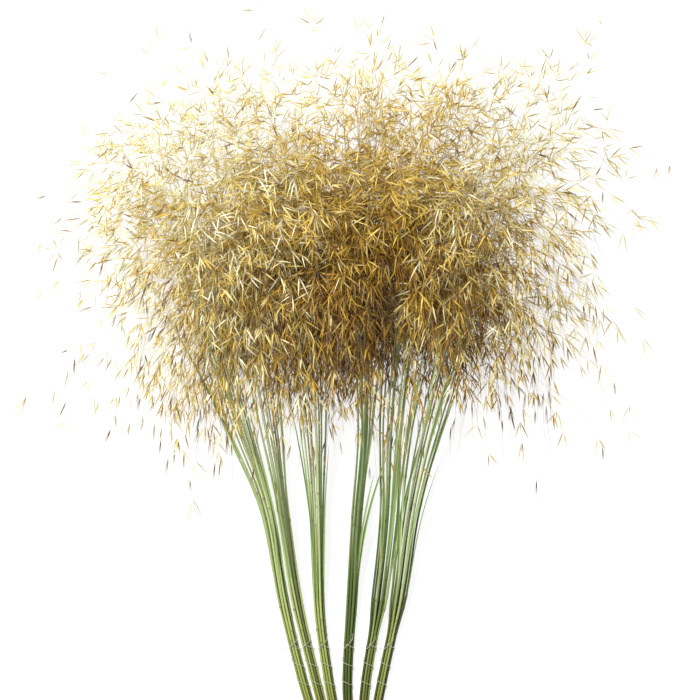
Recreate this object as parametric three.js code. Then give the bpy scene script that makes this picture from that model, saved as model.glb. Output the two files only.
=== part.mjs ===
// A bundle of cut giant feather grass lying on its side: six tied bunches of nine stems each.
// Millimetres, +Z up. The cut ends are towards -Y, the airy heads towards +Y, and the bundle lies
// on z = 0. Places along the bundle are counted from the cut ends, and every mesh is then set
// back by MIDDLE, so that the origin is under the middle of the whole bundle.
import * as THREE from 'three';

// Bunches, left to right. x is the middle of the bunch at each of the SPREAD_STATIONS along y,
// and opening is how many times its packed width it has at each of the OPENING_STATIONS. foot is
// where its heads begin and tip is where they end, both measured along y.
const SPREAD_STATIONS = [0, 95, 266, 418, 608, 1250];
const OPENING_STATIONS = [0, 190, 266, 418, 608, 1250];
const BUNCHES = [
  { name: 'A', x: [-49.5, -80, -121, -146, -204, -374], opening: [1, 1.05, 1.2, 1.25, 3, 6.8],
    foot: 650, tip: 1120 },
  { name: 'B', x: [-29.7, -55, -95, -118, -146, -250], opening: [1, 1.05, 1.2, 1.25, 2.6, 6.8],
    foot: 650, tip: 1170 },
  { name: 'C', x: [-9.9, -31, -52, -55, -62, -112], opening: [1, 1.05, 1.2, 1.45, 2.9, 6.8],
    foot: 675, tip: 1190 },
  { name: 'D', x: [9.9, 3, 12, 20.5, 34.5, 34], opening: [1, 1.05, 1.2, 1.3, 1.8, 6.8],
    foot: 690, tip: 1225 },
  { name: 'E', x: [29.7, 38, 65, 82, 93, 182], opening: [1, 1.05, 1.9, 2.15, 3.6, 6.8],
    foot: 715, tip: 1195 },
  { name: 'F', x: [49.5, 68, 102, 122, 161, 366], opening: [1, 1.05, 1.9, 2.15, 3.6, 6.8],
    foot: 710, tip: 1165 },
];
const MIDDLE = new THREE.Vector3(4, 681, 0);
const FOOT_SCATTER = 35;
const TIP_SCATTER = 80;

// Culms: the bare stems. A tied bunch packs them in three rows, counted up from the surface.
const ROWS = [[-1, 0, 1], [-1.5, -0.5, 0.5, 1.5], [-0.5, 0.5]];
const CULM_PITCH = 4.9;
const ROW_PITCH = CULM_PITCH * Math.sqrt(3) / 2;
const STEM_RADII = [[0, 2.3], [570, 1.75], [700, 1.4], [1300, 0.7]];
const CULM_STATIONS = [0, 45, 80, 130, 190, 266, 400, 520];
const CULM_CORNERS = [-36, 36, 108, 180, 252];

// How the packed pattern fans upwards and rises from the tie to the heads
const FANNING = [[0, 1], [190, 1.05], [340, 2.2], [675, 8], [1250, 20]];
const RISING = [[0, 0], [45, 0], [80, 2.3], [190, 3.4], [340, 12], [675, 42], [1250, 66]];
const SCATTER = 0.3;
const SCATTER_RAMP = [[230, 0], [600, 1]];

// Rachis: the three-sided axis of the head, with a short thicker node at each whorl of branches
const RACHIS_CORNERS = [-60, 60, 180];
const WHORLS = [5, 4, 4, 3, 3, 3, 2, 2, 2];
const WHORL_PLACE = [0.2, 0.7];
const NODE_LENGTH = 2.6;
const NODE_SWELL = 1.2;

// Branches: thin, leaving the rachis upwards and arching over. Each ends in a spikelet.
const BRANCH_STEPS = 8;
const LOW_MARKS = [0, 3, 6, 8];
const HIGH_MARKS = [0, 4, 8];
const BRANCH_RADIUS = 0.5;
const LONG_BRANCH = 190;
const SHORT_BRANCH = 60;
const LENGTH_FALL = 0.7;
const DROOP_FALL = 1.5;
const VARIETY = [0.7, 1.3];
const STRAY_SHARE = 0.08;
const STRAY_LENGTH = 1.5;
const GOLDEN_TURN = Math.PI * (3 - Math.sqrt(5));
const TURN_SCATTER = 0.6;
const LEAVE_ANGLE = [22, 44];
const DROOP = [0.5, 3.6];
const HEAD_FLATTENING = 0.65;
const PRESSED_DEPTH = 30;
const LYING_HEIGHT = 0.6;
const LYING_CLEARANCE = 1;

// The solid keeps a few of a head's branches: one, then a second, in each third of the rachis.
// The furthest from HEAD_MIDDLE are tried first.
const THIRDS = 3;
const KEPT_PER_THIRD = 2;
const HEAD_MIDDLE = new THREE.Vector3(0, 930, 150);
const CLEARANCE = 1.6;
const LEAST_LIFT = 0.25;

// Spikelets: two pointed glumes that open in a V
const GLUME_LENGTH = [26, 33];
const GLUME_BELLY = 0.35;
const GLUME_RADIUS = 1.5;
const GLUME_OPENING = [10, 26];
const FORK_RISE = 0.6;
const NECK = GLUME_LENGTH[0];

// Twine: one strand wound in a spiral round each bunch, in the stretch from TIE_START
const TWINE_RADIUS = 0.6;
const TWINE_GAP = 0.45;
const TIE_START = 84;
const TIE_LEAD = 36;
const TIE_TURNS = 2.5;
const STEPS_PER_TURN = 12;

const SEED = 7301;
const BRANCH_SEEDS = 1000;
const SEEDS_PER_STEM = 100;
const STRAW = 0xc8aa5a;
const TWINE_COLOUR = 0xe6e0cf;

const UP = new THREE.Vector3(0, 0, 1);
const radians = (degrees) => degrees * Math.PI / 180;
const between = ([low, high], share) => low + (high - low) * share;
const cross = (a, b) => new THREE.Vector3().crossVectors(a, b);
const squareTo = (v, ahead) => v.clone().addScaledVector(ahead, -v.dot(ahead)).normalize();

// A small seeded random source: the same seed always draws the same numbers from 0 to 1.
function drawFrom(seed) {
  let state = seed >>> 0;
  return () => {
    state = (state + 0x6d2b79f5) >>> 0;
    let mixed = Math.imul(state ^ (state >>> 15), state | 1);
    mixed ^= mixed + Math.imul(mixed ^ (mixed >>> 7), mixed | 61);
    return ((mixed ^ (mixed >>> 14)) >>> 0) / 4294967296;
  };
}

// A curve through knots [place, value] that never overshoots them
function smooth(knots, place) {
  const last = knots.length - 1;
  if (place <= knots[0][0]) return knots[0][1];
  if (place >= knots[last][0]) return knots[last][1];
  const rate = (i) => (knots[i + 1][1] - knots[i][1]) / (knots[i + 1][0] - knots[i][0]);
  const slope = (i) => {
    if (i === 0) return rate(0);
    if (i === last) return rate(last - 1);
    const before = rate(i - 1);
    const after = rate(i);
    return before * after <= 0 ? 0 : 2 * before * after / (before + after);
  };
  let i = 0;
  while (place > knots[i + 1][0]) i += 1;
  const width = knots[i + 1][0] - knots[i][0];
  const rise = knots[i + 1][1] - knots[i][1];
  const s = (place - knots[i][0]) / width;
  const early = slope(i) * width - rise;
  const late = rise - slope(i + 1) * width;
  return knots[i][1] + s * rise + s * (1 - s) * (early * (1 - s) + late * s);
}

// Where a head would reach below the surface it lies on, it is pressed flat on it.
function pressed(z) {
  if (z >= PRESSED_DEPTH) return z;
  if (z <= -PRESSED_DEPTH) return 0;
  return (z + PRESSED_DEPTH) ** 2 / (4 * PRESSED_DEPTH);
}

// One stem: its middle line by y, where its head begins and ends, and its whorls' places
function makeStem(bunch, row, place, index) {
  const draw = drawFrom(SEED + index);
  const sideways = SCATTER * (2 * draw() - 1);
  const upward = SCATTER * (2 * draw() - 1);
  const foot = bunch.foot + FOOT_SCATTER * (2 * draw() - 1);
  const tip = bunch.tip + TIP_SCATTER * (2 * draw() - 1);
  const turn = 2 * Math.PI * draw();
  const whorls = WHORLS.map((_, w) => (
    foot + (tip - NECK - foot) * (w + between(WHORL_PLACE, draw())) / WHORLS.length));
  const spread = SPREAD_STATIONS.map((y, i) => [y, bunch.x[i]]);
  const opening = OPENING_STATIONS.map((y, i) => [y, bunch.opening[i]]);
  const at = (y) => {
    const scatter = smooth(SCATTER_RAMP, y);
    const aside = (place + sideways * scatter) * CULM_PITCH * smooth(opening, y);
    const above = (row + upward * scatter) * ROW_PITCH * smooth(FANNING, y);
    const underside = smooth(STEM_RADII, y) * Math.cos(radians(CULM_CORNERS[1]));
    return new THREE.Vector3(smooth(spread, y) + aside, y, underside + smooth(RISING, y) + above);
  };
  const along = (y) => at(y + 5).sub(at(y - 5)).normalize();
  return { index, at, along, foot, tip, turn, whorls };
}

// Branch number n of a stem's head: its middle line, and the two legs of its end spikelet. A
// spikelet that would reach below the surface opens flat on it instead.
function makeBranch(stem, whorl, n) {
  const draw = drawFrom(SEED + BRANCH_SEEDS + stem.index * SEEDS_PER_STEM + n);
  const y = stem.whorls[whorl];
  const share = (y - stem.foot) / (stem.tip - stem.foot);
  const root = stem.at(y);
  const along = stem.along(y);
  const turn = stem.turn + n * GOLDEN_TURN + TURN_SCATTER * (draw() - 0.5);
  const down = squareTo(UP, along).negate();
  const outward = down.clone().multiplyScalar(Math.cos(turn))
    .addScaledVector(cross(along, down), Math.sin(turn));
  const stray = draw() < STRAY_SHARE ? STRAY_LENGTH : 1;
  const reach = LONG_BRANCH * Math.pow(1 - share, LENGTH_FALL) + SHORT_BRANCH;
  const length = reach * between(VARIETY, draw()) * stray;
  const leave = radians(between(LEAVE_ANGLE, draw()));
  const droop = between(DROOP, Math.pow(1 - share, DROOP_FALL)) * between(VARIETY, draw());
  const points = [root];
  const path = root.clone();
  for (let k = 0; k < BRANCH_STEPS; k += 1) {
    const s = (k + 0.5) / BRANCH_STEPS;
    const step = along.clone().multiplyScalar(Math.cos(leave));
    step.addScaledVector(outward, Math.sin(leave));
    step.y -= droop * s * s;
    path.addScaledVector(step.normalize(), length / BRANCH_STEPS);
    const z = pressed(root.z + HEAD_FLATTENING * (path.z - root.z));
    points.push(new THREE.Vector3(path.x, path.y, z));
  }
  const fork = points[BRANCH_STEPS];
  const heading = fork.clone().sub(points[BRANCH_STEPS - 1]).normalize();
  const level = cross(UP, heading).normalize();
  const roll = Math.PI * draw();
  const side = level.clone().multiplyScalar(Math.cos(roll))
    .addScaledVector(cross(heading, level), Math.sin(roll));
  const opening = radians(between(GLUME_OPENING, draw()));
  const glume = between(GLUME_LENGTH, draw());
  const fall = Math.sin(opening) * Math.abs(side.z) - Math.cos(opening) * heading.z;
  if (fork.z - glume * fall < LYING_CLEARANCE) {
    heading.z = Math.max(heading.z, (LYING_CLEARANCE - fork.z) / glume);
    heading.normalize();
    side.crossVectors(UP, heading).normalize();
  }
  const legs = [1, -1].map((hand) => heading.clone().multiplyScalar(Math.cos(opening))
    .addScaledVector(side, hand * Math.sin(opening)).multiplyScalar(glume));
  return { whorl, turn, along, down, points, heading, side, legs };
}

// The line of points that a branch's solid follows, none lower than its own half thickness
function marksOf(branch) {
  const marks = branch.whorl < WHORLS.length / THIRDS ? LOW_MARKS : HIGH_MARKS;
  return marks.map((i) => onSurface(branch.points[i], BRANCH_RADIUS));
}

function onSurface(point, radius) {
  return new THREE.Vector3(point.x, point.y, Math.max(point.z, LYING_HEIGHT * radius));
}

// Bars are stretches [start, end, radius] that stand for the tubes when gaps are measured.
function barsOfBranch(branch) {
  const marks = marksOf(branch);
  const fork = marks[marks.length - 1];
  const tube = marks.slice(1).map((end, i) => [marks[i], end, BRANCH_RADIUS]);
  const spikelet = branch.legs.map((leg) => [
    fork, onSurface(fork.clone().add(leg), 0), GLUME_RADIUS]);
  return [...tube, ...spikelet];
}

function barsOfAxis(stem) {
  const head = [0, 0.25, 0.5, 0.75, 1].map((share) => stem.foot + (stem.tip - stem.foot) * share);
  const stations = [...CULM_STATIONS, ...head];
  return stations.slice(1).map((y, i) => [
    stem.at(stations[i]), stem.at(y), smooth(STEM_RADII, stations[i])]);
}

function gapBetween([a, b, r1], [c, d, r2]) {
  const u = b.clone().sub(a);
  const v = d.clone().sub(c);
  const w = a.clone().sub(c);
  const [uu, uv, vv, uw, vw] = [u.dot(u), u.dot(v), v.dot(v), u.dot(w), v.dot(w)];
  const spread = uu * vv - uv * uv;
  let s = spread > 1e-9 ? THREE.MathUtils.clamp((uv * vw - vv * uw) / spread, 0, 1) : 0;
  const t = THREE.MathUtils.clamp((uv * s + vw) / vv, 0, 1);
  s = THREE.MathUtils.clamp((uv * t - uw) / uu, 0, 1);
  return w.addScaledVector(u, s).addScaledVector(v, -t).length() - r1 - r2;
}

function isClear(bar, other) {
  const room = bar[2] + other[2] + CLEARANCE;
  for (const axis of ['x', 'y', 'z']) {
    const low = Math.min(bar[0][axis], bar[1][axis]) - room;
    const high = Math.max(bar[0][axis], bar[1][axis]) + room;
    if (Math.max(other[0][axis], other[1][axis]) < low) return true;
    if (Math.min(other[0][axis], other[1][axis]) > high) return true;
  }
  return gapBetween(bar, other) > CLEARANCE;
}

// A branch may be kept where it clears every other stem and, past its root, its own stem too.
function fits(branch, stem, stems) {
  const bars = barsOfBranch(branch);
  const clearOfOthers = stems.every((other) => other === stem
    || bars.every((bar) => [other.axisBars, ...other.branchBars].flat()
      .every((otherBar) => isClear(bar, otherBar))));
  if (!clearOfOthers) return false;
  const clearOfAxis = bars.slice(1).every((bar) => stem.axisBars.every(
    (axisBar) => isClear(bar, axisBar)));
  return clearOfAxis && stem.branches.every((kept, i) => bars.every((bar, j) => (
    stem.branchBars[i].every((keptBar, k) => (
      (j === 0 && k === 0 && kept.whorl === branch.whorl) || isClear(bar, keptBar))))));
}

// Which of the three faces of the rachis a branch grows from, and how steeply it leaves it
function faceOf(branch) {
  return ((Math.round(branch.turn / radians(120)) % 3) + 3) % 3;
}

function liftOf(branch) {
  const angle = radians(120 * faceOf(branch));
  const outOfFace = branch.down.clone().multiplyScalar(Math.cos(angle))
    .addScaledVector(cross(branch.along, branch.down), Math.sin(angle));
  const [root, next] = marksOf(branch);
  return next.clone().sub(root).normalize().dot(outOfFace);
}

function keepBranch(stem, third, stems) {
  const taken = stem.branches.filter((kept) => Math.floor(kept.whorl / THIRDS) === third);
  const candidates = [];
  let n = 0;
  WHORLS.forEach((count, whorl) => {
    for (let i = 0; i < count; i += 1) {
      const inThird = Math.floor(whorl / THIRDS) === third;
      if (inThird && (taken.length === 0 || taken[0].whorl === whorl)) {
        candidates.push(makeBranch(stem, whorl, n));
      }
      n += 1;
    }
  });
  const distance = (branch) => branch.points[BRANCH_STEPS].distanceTo(HEAD_MIDDLE);
  candidates.sort((a, b) => distance(b) - distance(a));
  const branch = candidates.find((candidate) => liftOf(candidate) > LEAST_LIFT
    && taken.every((kept) => faceOf(kept) !== faceOf(candidate))
    && fits(candidate, stem, stems));
  if (branch) {
    stem.branches.push(branch);
    stem.branchBars.push(barsOfBranch(branch));
  }
}

// A shape grows from ring to ring. Rings list their corners anticlockwise as seen from ahead,
// and faces turn anticlockwise as seen from outside.
function addCorner(shape, { x, y, z }) {
  shape.corners.push(x, y, Math.max(z, 0));
  return shape.corners.length / 3 - 1;
}

function cornerAt(shape, i) {
  return new THREE.Vector3().fromArray(shape.corners, 3 * i);
}

function addRing(shape, centre, ahead, first, radius, angles) {
  const second = cross(ahead, first);
  return angles.map((angle) => addCorner(shape, centre.clone()
    .addScaledVector(first, radius * Math.cos(radians(angle)))
    .addScaledVector(second, radius * Math.sin(radians(angle)))));
}

// Joins two rings. A side in `open` keeps its first triangle free, for a branch to grow from.
function joinRings(shape, from, to, open = []) {
  const bases = {};
  from.forEach((corner, j) => {
    const next = (j + 1) % from.length;
    const base = [corner, from[next], to[next]];
    if (open.includes(j)) bases[j] = base;
    else shape.faces.push(base);
    shape.faces.push([corner, to[next], to[j]]);
  });
  return bases;
}

function closeToPoint(shape, ring, point) {
  const tip = addCorner(shape, point);
  ring.forEach((corner, j) => shape.faces.push([corner, ring[(j + 1) % ring.length], tip]));
}

// How far a three-cornered ring is turned from `first`, in degrees, to meet three corners with
// the least twist
function turnToMeet(corners, ahead, first) {
  const second = cross(ahead, first);
  const middle = new THREE.Vector3();
  corners.forEach((corner) => middle.addScaledVector(corner, 1 / corners.length));
  let [level, upright] = [0, 0];
  corners.forEach((corner, j) => {
    const arm = corner.clone().sub(middle);
    const [u, v] = [arm.dot(first), arm.dot(second)];
    const back = radians(-120 * j);
    level += u * Math.cos(back) - v * Math.sin(back);
    upright += u * Math.sin(back) + v * Math.cos(back);
  });
  return THREE.MathUtils.radToDeg(Math.atan2(upright, level));
}

function threeCorners(turn) {
  return [turn, turn + 120, turn + 240];
}

function growGlume(shape, base, fork, leg) {
  const ahead = leg.clone().normalize();
  const corners = base.map((i) => cornerAt(shape, i));
  const first = squareTo(corners[0].clone().sub(corners[1]), ahead);
  const turn = turnToMeet(corners, ahead, first);
  const belly = onSurface(fork.clone().addScaledVector(leg, GLUME_BELLY), GLUME_RADIUS);
  const ring = addRing(shape, belly, ahead, first, GLUME_RADIUS, threeCorners(turn));
  joinRings(shape, base, ring);
  closeToPoint(shape, ring, onSurface(fork.clone().add(leg), 0));
}

// The rings start as the root's triangle lies, and turn a little from one to the next, so that
// at the fork one corner points square to the spikelet's own plane.
function growBranch(shape, base, branch) {
  const marks = marksOf(branch);
  const last = marks.length - 1;
  const corners = base.map((i) => cornerAt(shape, i));
  const leaving = marks[1].clone().sub(marks[0]).normalize();
  let first = squareTo(corners[0].clone().sub(corners[1]), leaving);
  const turn = turnToMeet(corners, leaving, first);
  const stretches = marks.slice(1).map((mark, i) => mark.clone().sub(marks[i]).normalize());
  const aheads = stretches.map((stretch, i) => (
    stretch.clone().add(stretches[i + 1] ?? branch.heading).normalize()));
  const firsts = aheads.map((ahead) => {
    first = squareTo(first, ahead);
    return first;
  });
  const atFork = aheads[last - 1];
  const square = squareTo(cross(branch.side, branch.heading), atFork);
  const goal = THREE.MathUtils.radToDeg(
    Math.atan2(square.dot(cross(atFork, first)), square.dot(first)));
  const sixths = Math.round((goal - turn) / 60);
  const twist = goal - turn - 60 * sixths;
  const flipped = Math.abs(sixths) % 2;
  const facing = ((sixths + 3 * flipped) / 2 + 6) % 3;
  let ring = base;
  for (let i = 1; i <= last; i += 1) {
    const angles = threeCorners(turn + twist * i / last);
    const next = addRing(shape, marks[i], aheads[i - 1], firsts[i - 1], BRANCH_RADIUS, angles);
    joinRings(shape, ring, next);
    ring = next;
  }
  const fork = marks[last];
  const middle = addCorner(shape, fork.clone().addScaledVector(branch.heading, FORK_RISE));
  const [a, b, c] = [0, 1, 2].map((j) => ring[(facing + j) % 3]);
  shape.faces.push([b, c, middle]);
  growGlume(shape, [a, b, middle], fork, branch.legs[flipped]);
  growGlume(shape, [c, a, middle], fork, branch.legs[1 - flipped]);
}

function growStem(stem) {
  const shape = { corners: [], faces: [] };
  const ringAt = (y, radius, angles) => {
    const ahead = stem.along(y);
    return addRing(shape, stem.at(y), ahead, squareTo(UP, ahead).negate(), radius, angles);
  };
  let ring = ringAt(0, smooth(STEM_RADII, 0), CULM_CORNERS);
  shape.faces.push([ring[0], ring[2], ring[1]]);
  shape.faces.push([ring[0], ring[3], ring[2]]);
  shape.faces.push([ring[0], ring[4], ring[3]]);
  for (const y of [...CULM_STATIONS.slice(1), stem.foot]) {
    const next = ringAt(y, smooth(STEM_RADII, y), CULM_CORNERS);
    joinRings(shape, ring, next);
    ring = next;
  }
  shape.faces.push([ring[1], ring[2], ring[3]]);
  shape.faces.push([ring[3], ring[4], ring[0]]);
  ring = [ring[0], ring[1], ring[3]];
  const whorls = [...new Set(stem.branches.map((branch) => branch.whorl))].sort((a, b) => a - b);
  for (const whorl of whorls) {
    const y = stem.whorls[whorl];
    const radius = NODE_SWELL * smooth(STEM_RADII, y);
    const low = ringAt(y - NODE_LENGTH / 2, radius, RACHIS_CORNERS);
    const high = ringAt(y + NODE_LENGTH / 2, radius, RACHIS_CORNERS);
    joinRings(shape, ring, low);
    const here = stem.branches.filter((branch) => branch.whorl === whorl);
    const bases = joinRings(shape, low, high, here.map(faceOf));
    here.forEach((branch) => growBranch(shape, bases[faceOf(branch)], branch));
    ring = high;
  }
  const neck = stem.tip - NECK;
  const next = ringAt(neck, smooth(STEM_RADII, neck), RACHIS_CORNERS);
  joinRings(shape, ring, next);
  const belly = ringAt(neck + GLUME_BELLY * NECK, GLUME_RADIUS, RACHIS_CORNERS);
  joinRings(shape, next, belly);
  closeToPoint(shape, belly, stem.at(stem.tip));
  return shape;
}

// The twine's route stays on the outside of a bunch: the culm that lies furthest out on each
// side, plus the gap, carries it there.
function growTwine(members) {
  const shape = { corners: [], faces: [] };
  const steps = Math.round(TIE_TURNS * STEPS_PER_TURN);
  const points = [];
  for (let k = 0; k <= steps; k += 1) {
    const y = TIE_START + TIE_LEAD * k / STEPS_PER_TURN;
    const angle = 2 * Math.PI * (k + 0.5) / STEPS_PER_TURN;
    const out = new THREE.Vector3(Math.sin(angle), 0, -Math.cos(angle));
    const centres = members.map((stem) => stem.at(y));
    const outermost = centres.reduce((best, p) => (p.dot(out) > best.dot(out) ? p : best));
    const room = smooth(STEM_RADII, y) + TWINE_GAP + TWINE_RADIUS;
    points.push(outermost.addScaledVector(out, room / Math.cos(Math.PI / STEPS_PER_TURN)));
  }
  let first = UP;
  const rings = points.map((point, k) => {
    const ahead = points[Math.min(k + 1, steps)].clone().sub(points[Math.max(k - 1, 0)]);
    ahead.normalize();
    first = squareTo(first, ahead);
    return addRing(shape, point, ahead, first, TWINE_RADIUS, [0, 120, 240]);
  });
  rings.slice(1).forEach((ring, k) => joinRings(shape, rings[k], ring));
  shape.faces.push([rings[0][2], rings[0][1], rings[0][0]], rings[steps]);
  return shape;
}

function meshOf(shape, name, colour) {
  const geometry = new THREE.BufferGeometry();
  geometry.setAttribute('position', new THREE.Float32BufferAttribute(shape.corners, 3));
  geometry.setIndex(shape.faces.flat());
  geometry.computeVertexNormals();
  const material = new THREE.MeshStandardMaterial({ color: colour, roughness: 0.8, metalness: 0 });
  const mesh = new THREE.Mesh(geometry, material);
  mesh.name = name;
  mesh.position.copy(MIDDLE).negate();
  return mesh;
}

const stems = BUNCHES.flatMap((bunch, b) => ROWS.flatMap((places, row) => (
  places.map((place) => ({ bunch, b, row, place })))))
  .map(({ bunch, b, row, place }, index) => ({
    ...makeStem(bunch, row, place, index),
    bunch,
    name: `stem_${bunch.name}${index - b * ROWS.flat().length + 1}`,
    branches: [],
    branchBars: [],
  }));
stems.forEach((stem) => {
  stem.axisBars = barsOfAxis(stem);
});
for (let round = 0; round < KEPT_PER_THIRD; round += 1) {
  for (let third = 0; third < THIRDS; third += 1) {
    stems.forEach((stem) => keepBranch(stem, third, stems));
  }
}

const bundle = new THREE.Group();
for (const stem of stems) {
  bundle.add(meshOf(growStem(stem), stem.name, STRAW));
}
for (const bunch of BUNCHES) {
  const members = stems.filter((stem) => stem.bunch === bunch);
  bundle.add(meshOf(growTwine(members), `twine_${bunch.name}`, TWINE_COLOUR));
}

export default bundle;
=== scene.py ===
# A bundle of cut giant feather grass that lies on its side: six tied bunches of nine stems each.
# Green culms, thin stalks, papery spikelets with hair-like awns and one twine round each bunch
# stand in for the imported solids. The rule that places the stems and the main branches is the one
# that made those solids, and it counts in millimetres from the cut ends.
from math import atan, cos, exp, pi, radians, sin, sqrt

import bpy
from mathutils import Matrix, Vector


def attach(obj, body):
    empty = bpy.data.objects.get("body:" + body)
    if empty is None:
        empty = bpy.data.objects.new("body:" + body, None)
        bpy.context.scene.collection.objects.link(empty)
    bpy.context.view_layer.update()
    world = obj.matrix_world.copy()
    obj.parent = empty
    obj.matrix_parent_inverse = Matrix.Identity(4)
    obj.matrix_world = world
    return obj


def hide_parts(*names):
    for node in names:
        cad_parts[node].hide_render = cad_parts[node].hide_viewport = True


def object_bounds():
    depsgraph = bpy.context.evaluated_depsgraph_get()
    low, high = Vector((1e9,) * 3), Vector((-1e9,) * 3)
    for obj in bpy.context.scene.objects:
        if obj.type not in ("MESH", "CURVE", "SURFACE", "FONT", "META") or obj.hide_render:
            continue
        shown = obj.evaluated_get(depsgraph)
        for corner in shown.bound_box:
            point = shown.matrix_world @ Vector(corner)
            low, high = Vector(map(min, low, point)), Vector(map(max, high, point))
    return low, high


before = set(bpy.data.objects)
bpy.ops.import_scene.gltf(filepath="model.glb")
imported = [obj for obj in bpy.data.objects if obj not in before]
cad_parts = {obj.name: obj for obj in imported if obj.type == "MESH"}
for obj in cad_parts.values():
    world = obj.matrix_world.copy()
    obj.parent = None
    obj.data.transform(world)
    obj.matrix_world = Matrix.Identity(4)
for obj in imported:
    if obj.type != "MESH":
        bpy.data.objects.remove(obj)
cad_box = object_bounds()

# Camera
# It looks straight down on the bundle, with the heads at the top of the picture, and takes in
# all of it but the cut ends.
VIEW_MIDDLE = Vector((0.004, 0.060, 0.08))
VIEW_WIDTH = 1.33
CAMERA_HEIGHT = 5.5
lens = bpy.data.cameras.new("camera")
lens.sensor_fit = "HORIZONTAL"
lens.angle = 2 * atan(VIEW_WIDTH / 2 / CAMERA_HEIGHT)


def add_object(name, data):
    thing = bpy.data.objects.new(name, data)
    bpy.context.scene.collection.objects.link(thing)
    return thing


camera = add_object("camera", lens)
camera.location = VIEW_MIDDLE + Vector((0, 0, CAMERA_HEIGHT))
bpy.context.scene.camera = camera

# Culms
# The bare lower stems of the grass: round, hard and green, with a few dark swollen joints and a
# thin sheath above each. Nine of them are packed in three rows in each tied bunch.
MM = 0.001
MIDDLE = Vector((4, 681, 0))
SEED = 7301
SPREAD_STATIONS = [0, 95, 266, 418, 608, 1250]
OPENING_STATIONS = [0, 190, 266, 418, 608, 1250]
BUNCHES = {
    "A": {"x": [-49.5, -80, -121, -146, -204, -374], "opening": [1, 1.05, 1.2, 1.25, 3, 6.8],
          "foot": 650, "tip": 1120, "ripeness": 0.1, "blueness": 0.28},
    "B": {"x": [-29.7, -55, -95, -118, -146, -250], "opening": [1, 1.05, 1.2, 1.25, 2.6, 6.8],
          "foot": 650, "tip": 1170, "ripeness": 0.15, "blueness": 0.38},
    "C": {"x": [-9.9, -31, -52, -55, -62, -112], "opening": [1, 1.05, 1.2, 1.45, 2.9, 6.8],
          "foot": 675, "tip": 1190, "ripeness": 0.4, "blueness": 0.65},
    "D": {"x": [9.9, 3, 12, 20.5, 34.5, 34], "opening": [1, 1.05, 1.2, 1.3, 1.8, 6.8],
          "foot": 690, "tip": 1225, "ripeness": 0.74, "blueness": 0.65},
    "E": {"x": [29.7, 38, 65, 82, 93, 182], "opening": [1, 1.05, 1.9, 2.15, 3.6, 6.8],
          "foot": 715, "tip": 1195, "ripeness": 0.6, "blueness": 0.75},
    "F": {"x": [49.5, 68, 102, 122, 161, 366], "opening": [1, 1.05, 1.9, 2.15, 3.6, 6.8],
          "foot": 710, "tip": 1165, "ripeness": 0.16, "blueness": 0.6},
}
FOOT_SCATTER = 35
TIP_SCATTER = 80
ROWS = [[-1, 0, 1], [-1.5, -0.5, 0.5, 1.5], [-0.5, 0.5]]
CULM_PITCH = 4.9
ROW_PITCH = CULM_PITCH * sqrt(3) / 2
STEM_RADII = [[0, 2.3], [570, 1.75], [700, 1.4], [1300, 0.7]]
UNDERSIDE_ANGLE = radians(36)
FANNING = [[0, 1], [190, 1.05], [340, 2.2], [675, 8], [1250, 20]]
RISING = [[0, 0], [45, 0], [80, 2.3], [190, 3.4], [340, 12], [675, 42], [1250, 66]]
SCATTER = 0.3
SCATTER_RAMP = [[230, 0], [600, 1]]
WHORLS = [5, 4, 4, 3, 3, 3, 2, 2, 2]
WHORL_PLACE = [0.2, 0.7]
NECK = 26
SLOPE_REACH = 5

CULM_SEEDS = 500
CULM_STEP = 18
CULM_SIDES = 8
CULM_OVERLAP = 4
JOINT_SEEDS = 400
JOINT_PLACES = [[165, 260], [400, 520]]
JOINT_SWELL = [[-5, 0], [-1.6, 0.24], [1.6, 0.24], [4, 0.09], [70, 0.07], [74, 0]]
JOINT_CLEARANCE = [-8, 78]
SHEATH_STATIONS = [0, 22, 46]
JOINT_BAND = 4
JOINT_STRENGTH = 0.6
CUT_FACING = 0.8
DARK_CULM_SHARE = 0.07
DARK_CULM = 0.75
DUSKIEST = 0.45
YELLOW_TINTS = [0, 0.3]
BLUE_TINTS = [0.65, 1]


def between(ends, share):
    return ends[0] + (ends[1] - ends[0]) * share


def draw_from(seed):
    """A small seeded random source: the same seed always draws the same numbers from 0 to 1."""
    word = 0xFFFFFFFF
    state = seed & word

    def draw():
        nonlocal state
        state = (state + 0x6D2B79F5) & word
        mixed = (state ^ (state >> 15)) * (state | 1) & word
        mixed ^= (mixed + ((mixed ^ (mixed >> 7)) * (mixed | 61) & word)) & word
        return (mixed ^ (mixed >> 14)) / (word + 1)

    return draw


def smooth(knots, place):
    """The value at a place on a curve through knots [place, value] that never overshoots them"""
    if place <= knots[0][0]:
        return knots[0][1]
    if place >= knots[-1][0]:
        return knots[-1][1]

    def rate(i):
        return (knots[i + 1][1] - knots[i][1]) / (knots[i + 1][0] - knots[i][0])

    def slope(i):
        if i == 0:
            return rate(0)
        if i == len(knots) - 1:
            return rate(i - 1)
        before, after = rate(i - 1), rate(i)
        return 0 if before * after <= 0 else 2 * before * after / (before + after)

    i = next(i for i in range(len(knots) - 1) if place <= knots[i + 1][0])
    width = knots[i + 1][0] - knots[i][0]
    rise = knots[i + 1][1] - knots[i][1]
    s = (place - knots[i][0]) / width
    early = slope(i) * width - rise
    late = rise - slope(i + 1) * width
    return knots[i][1] + s * rise + s * (1 - s) * (early * (1 - s) + late * s)


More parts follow.
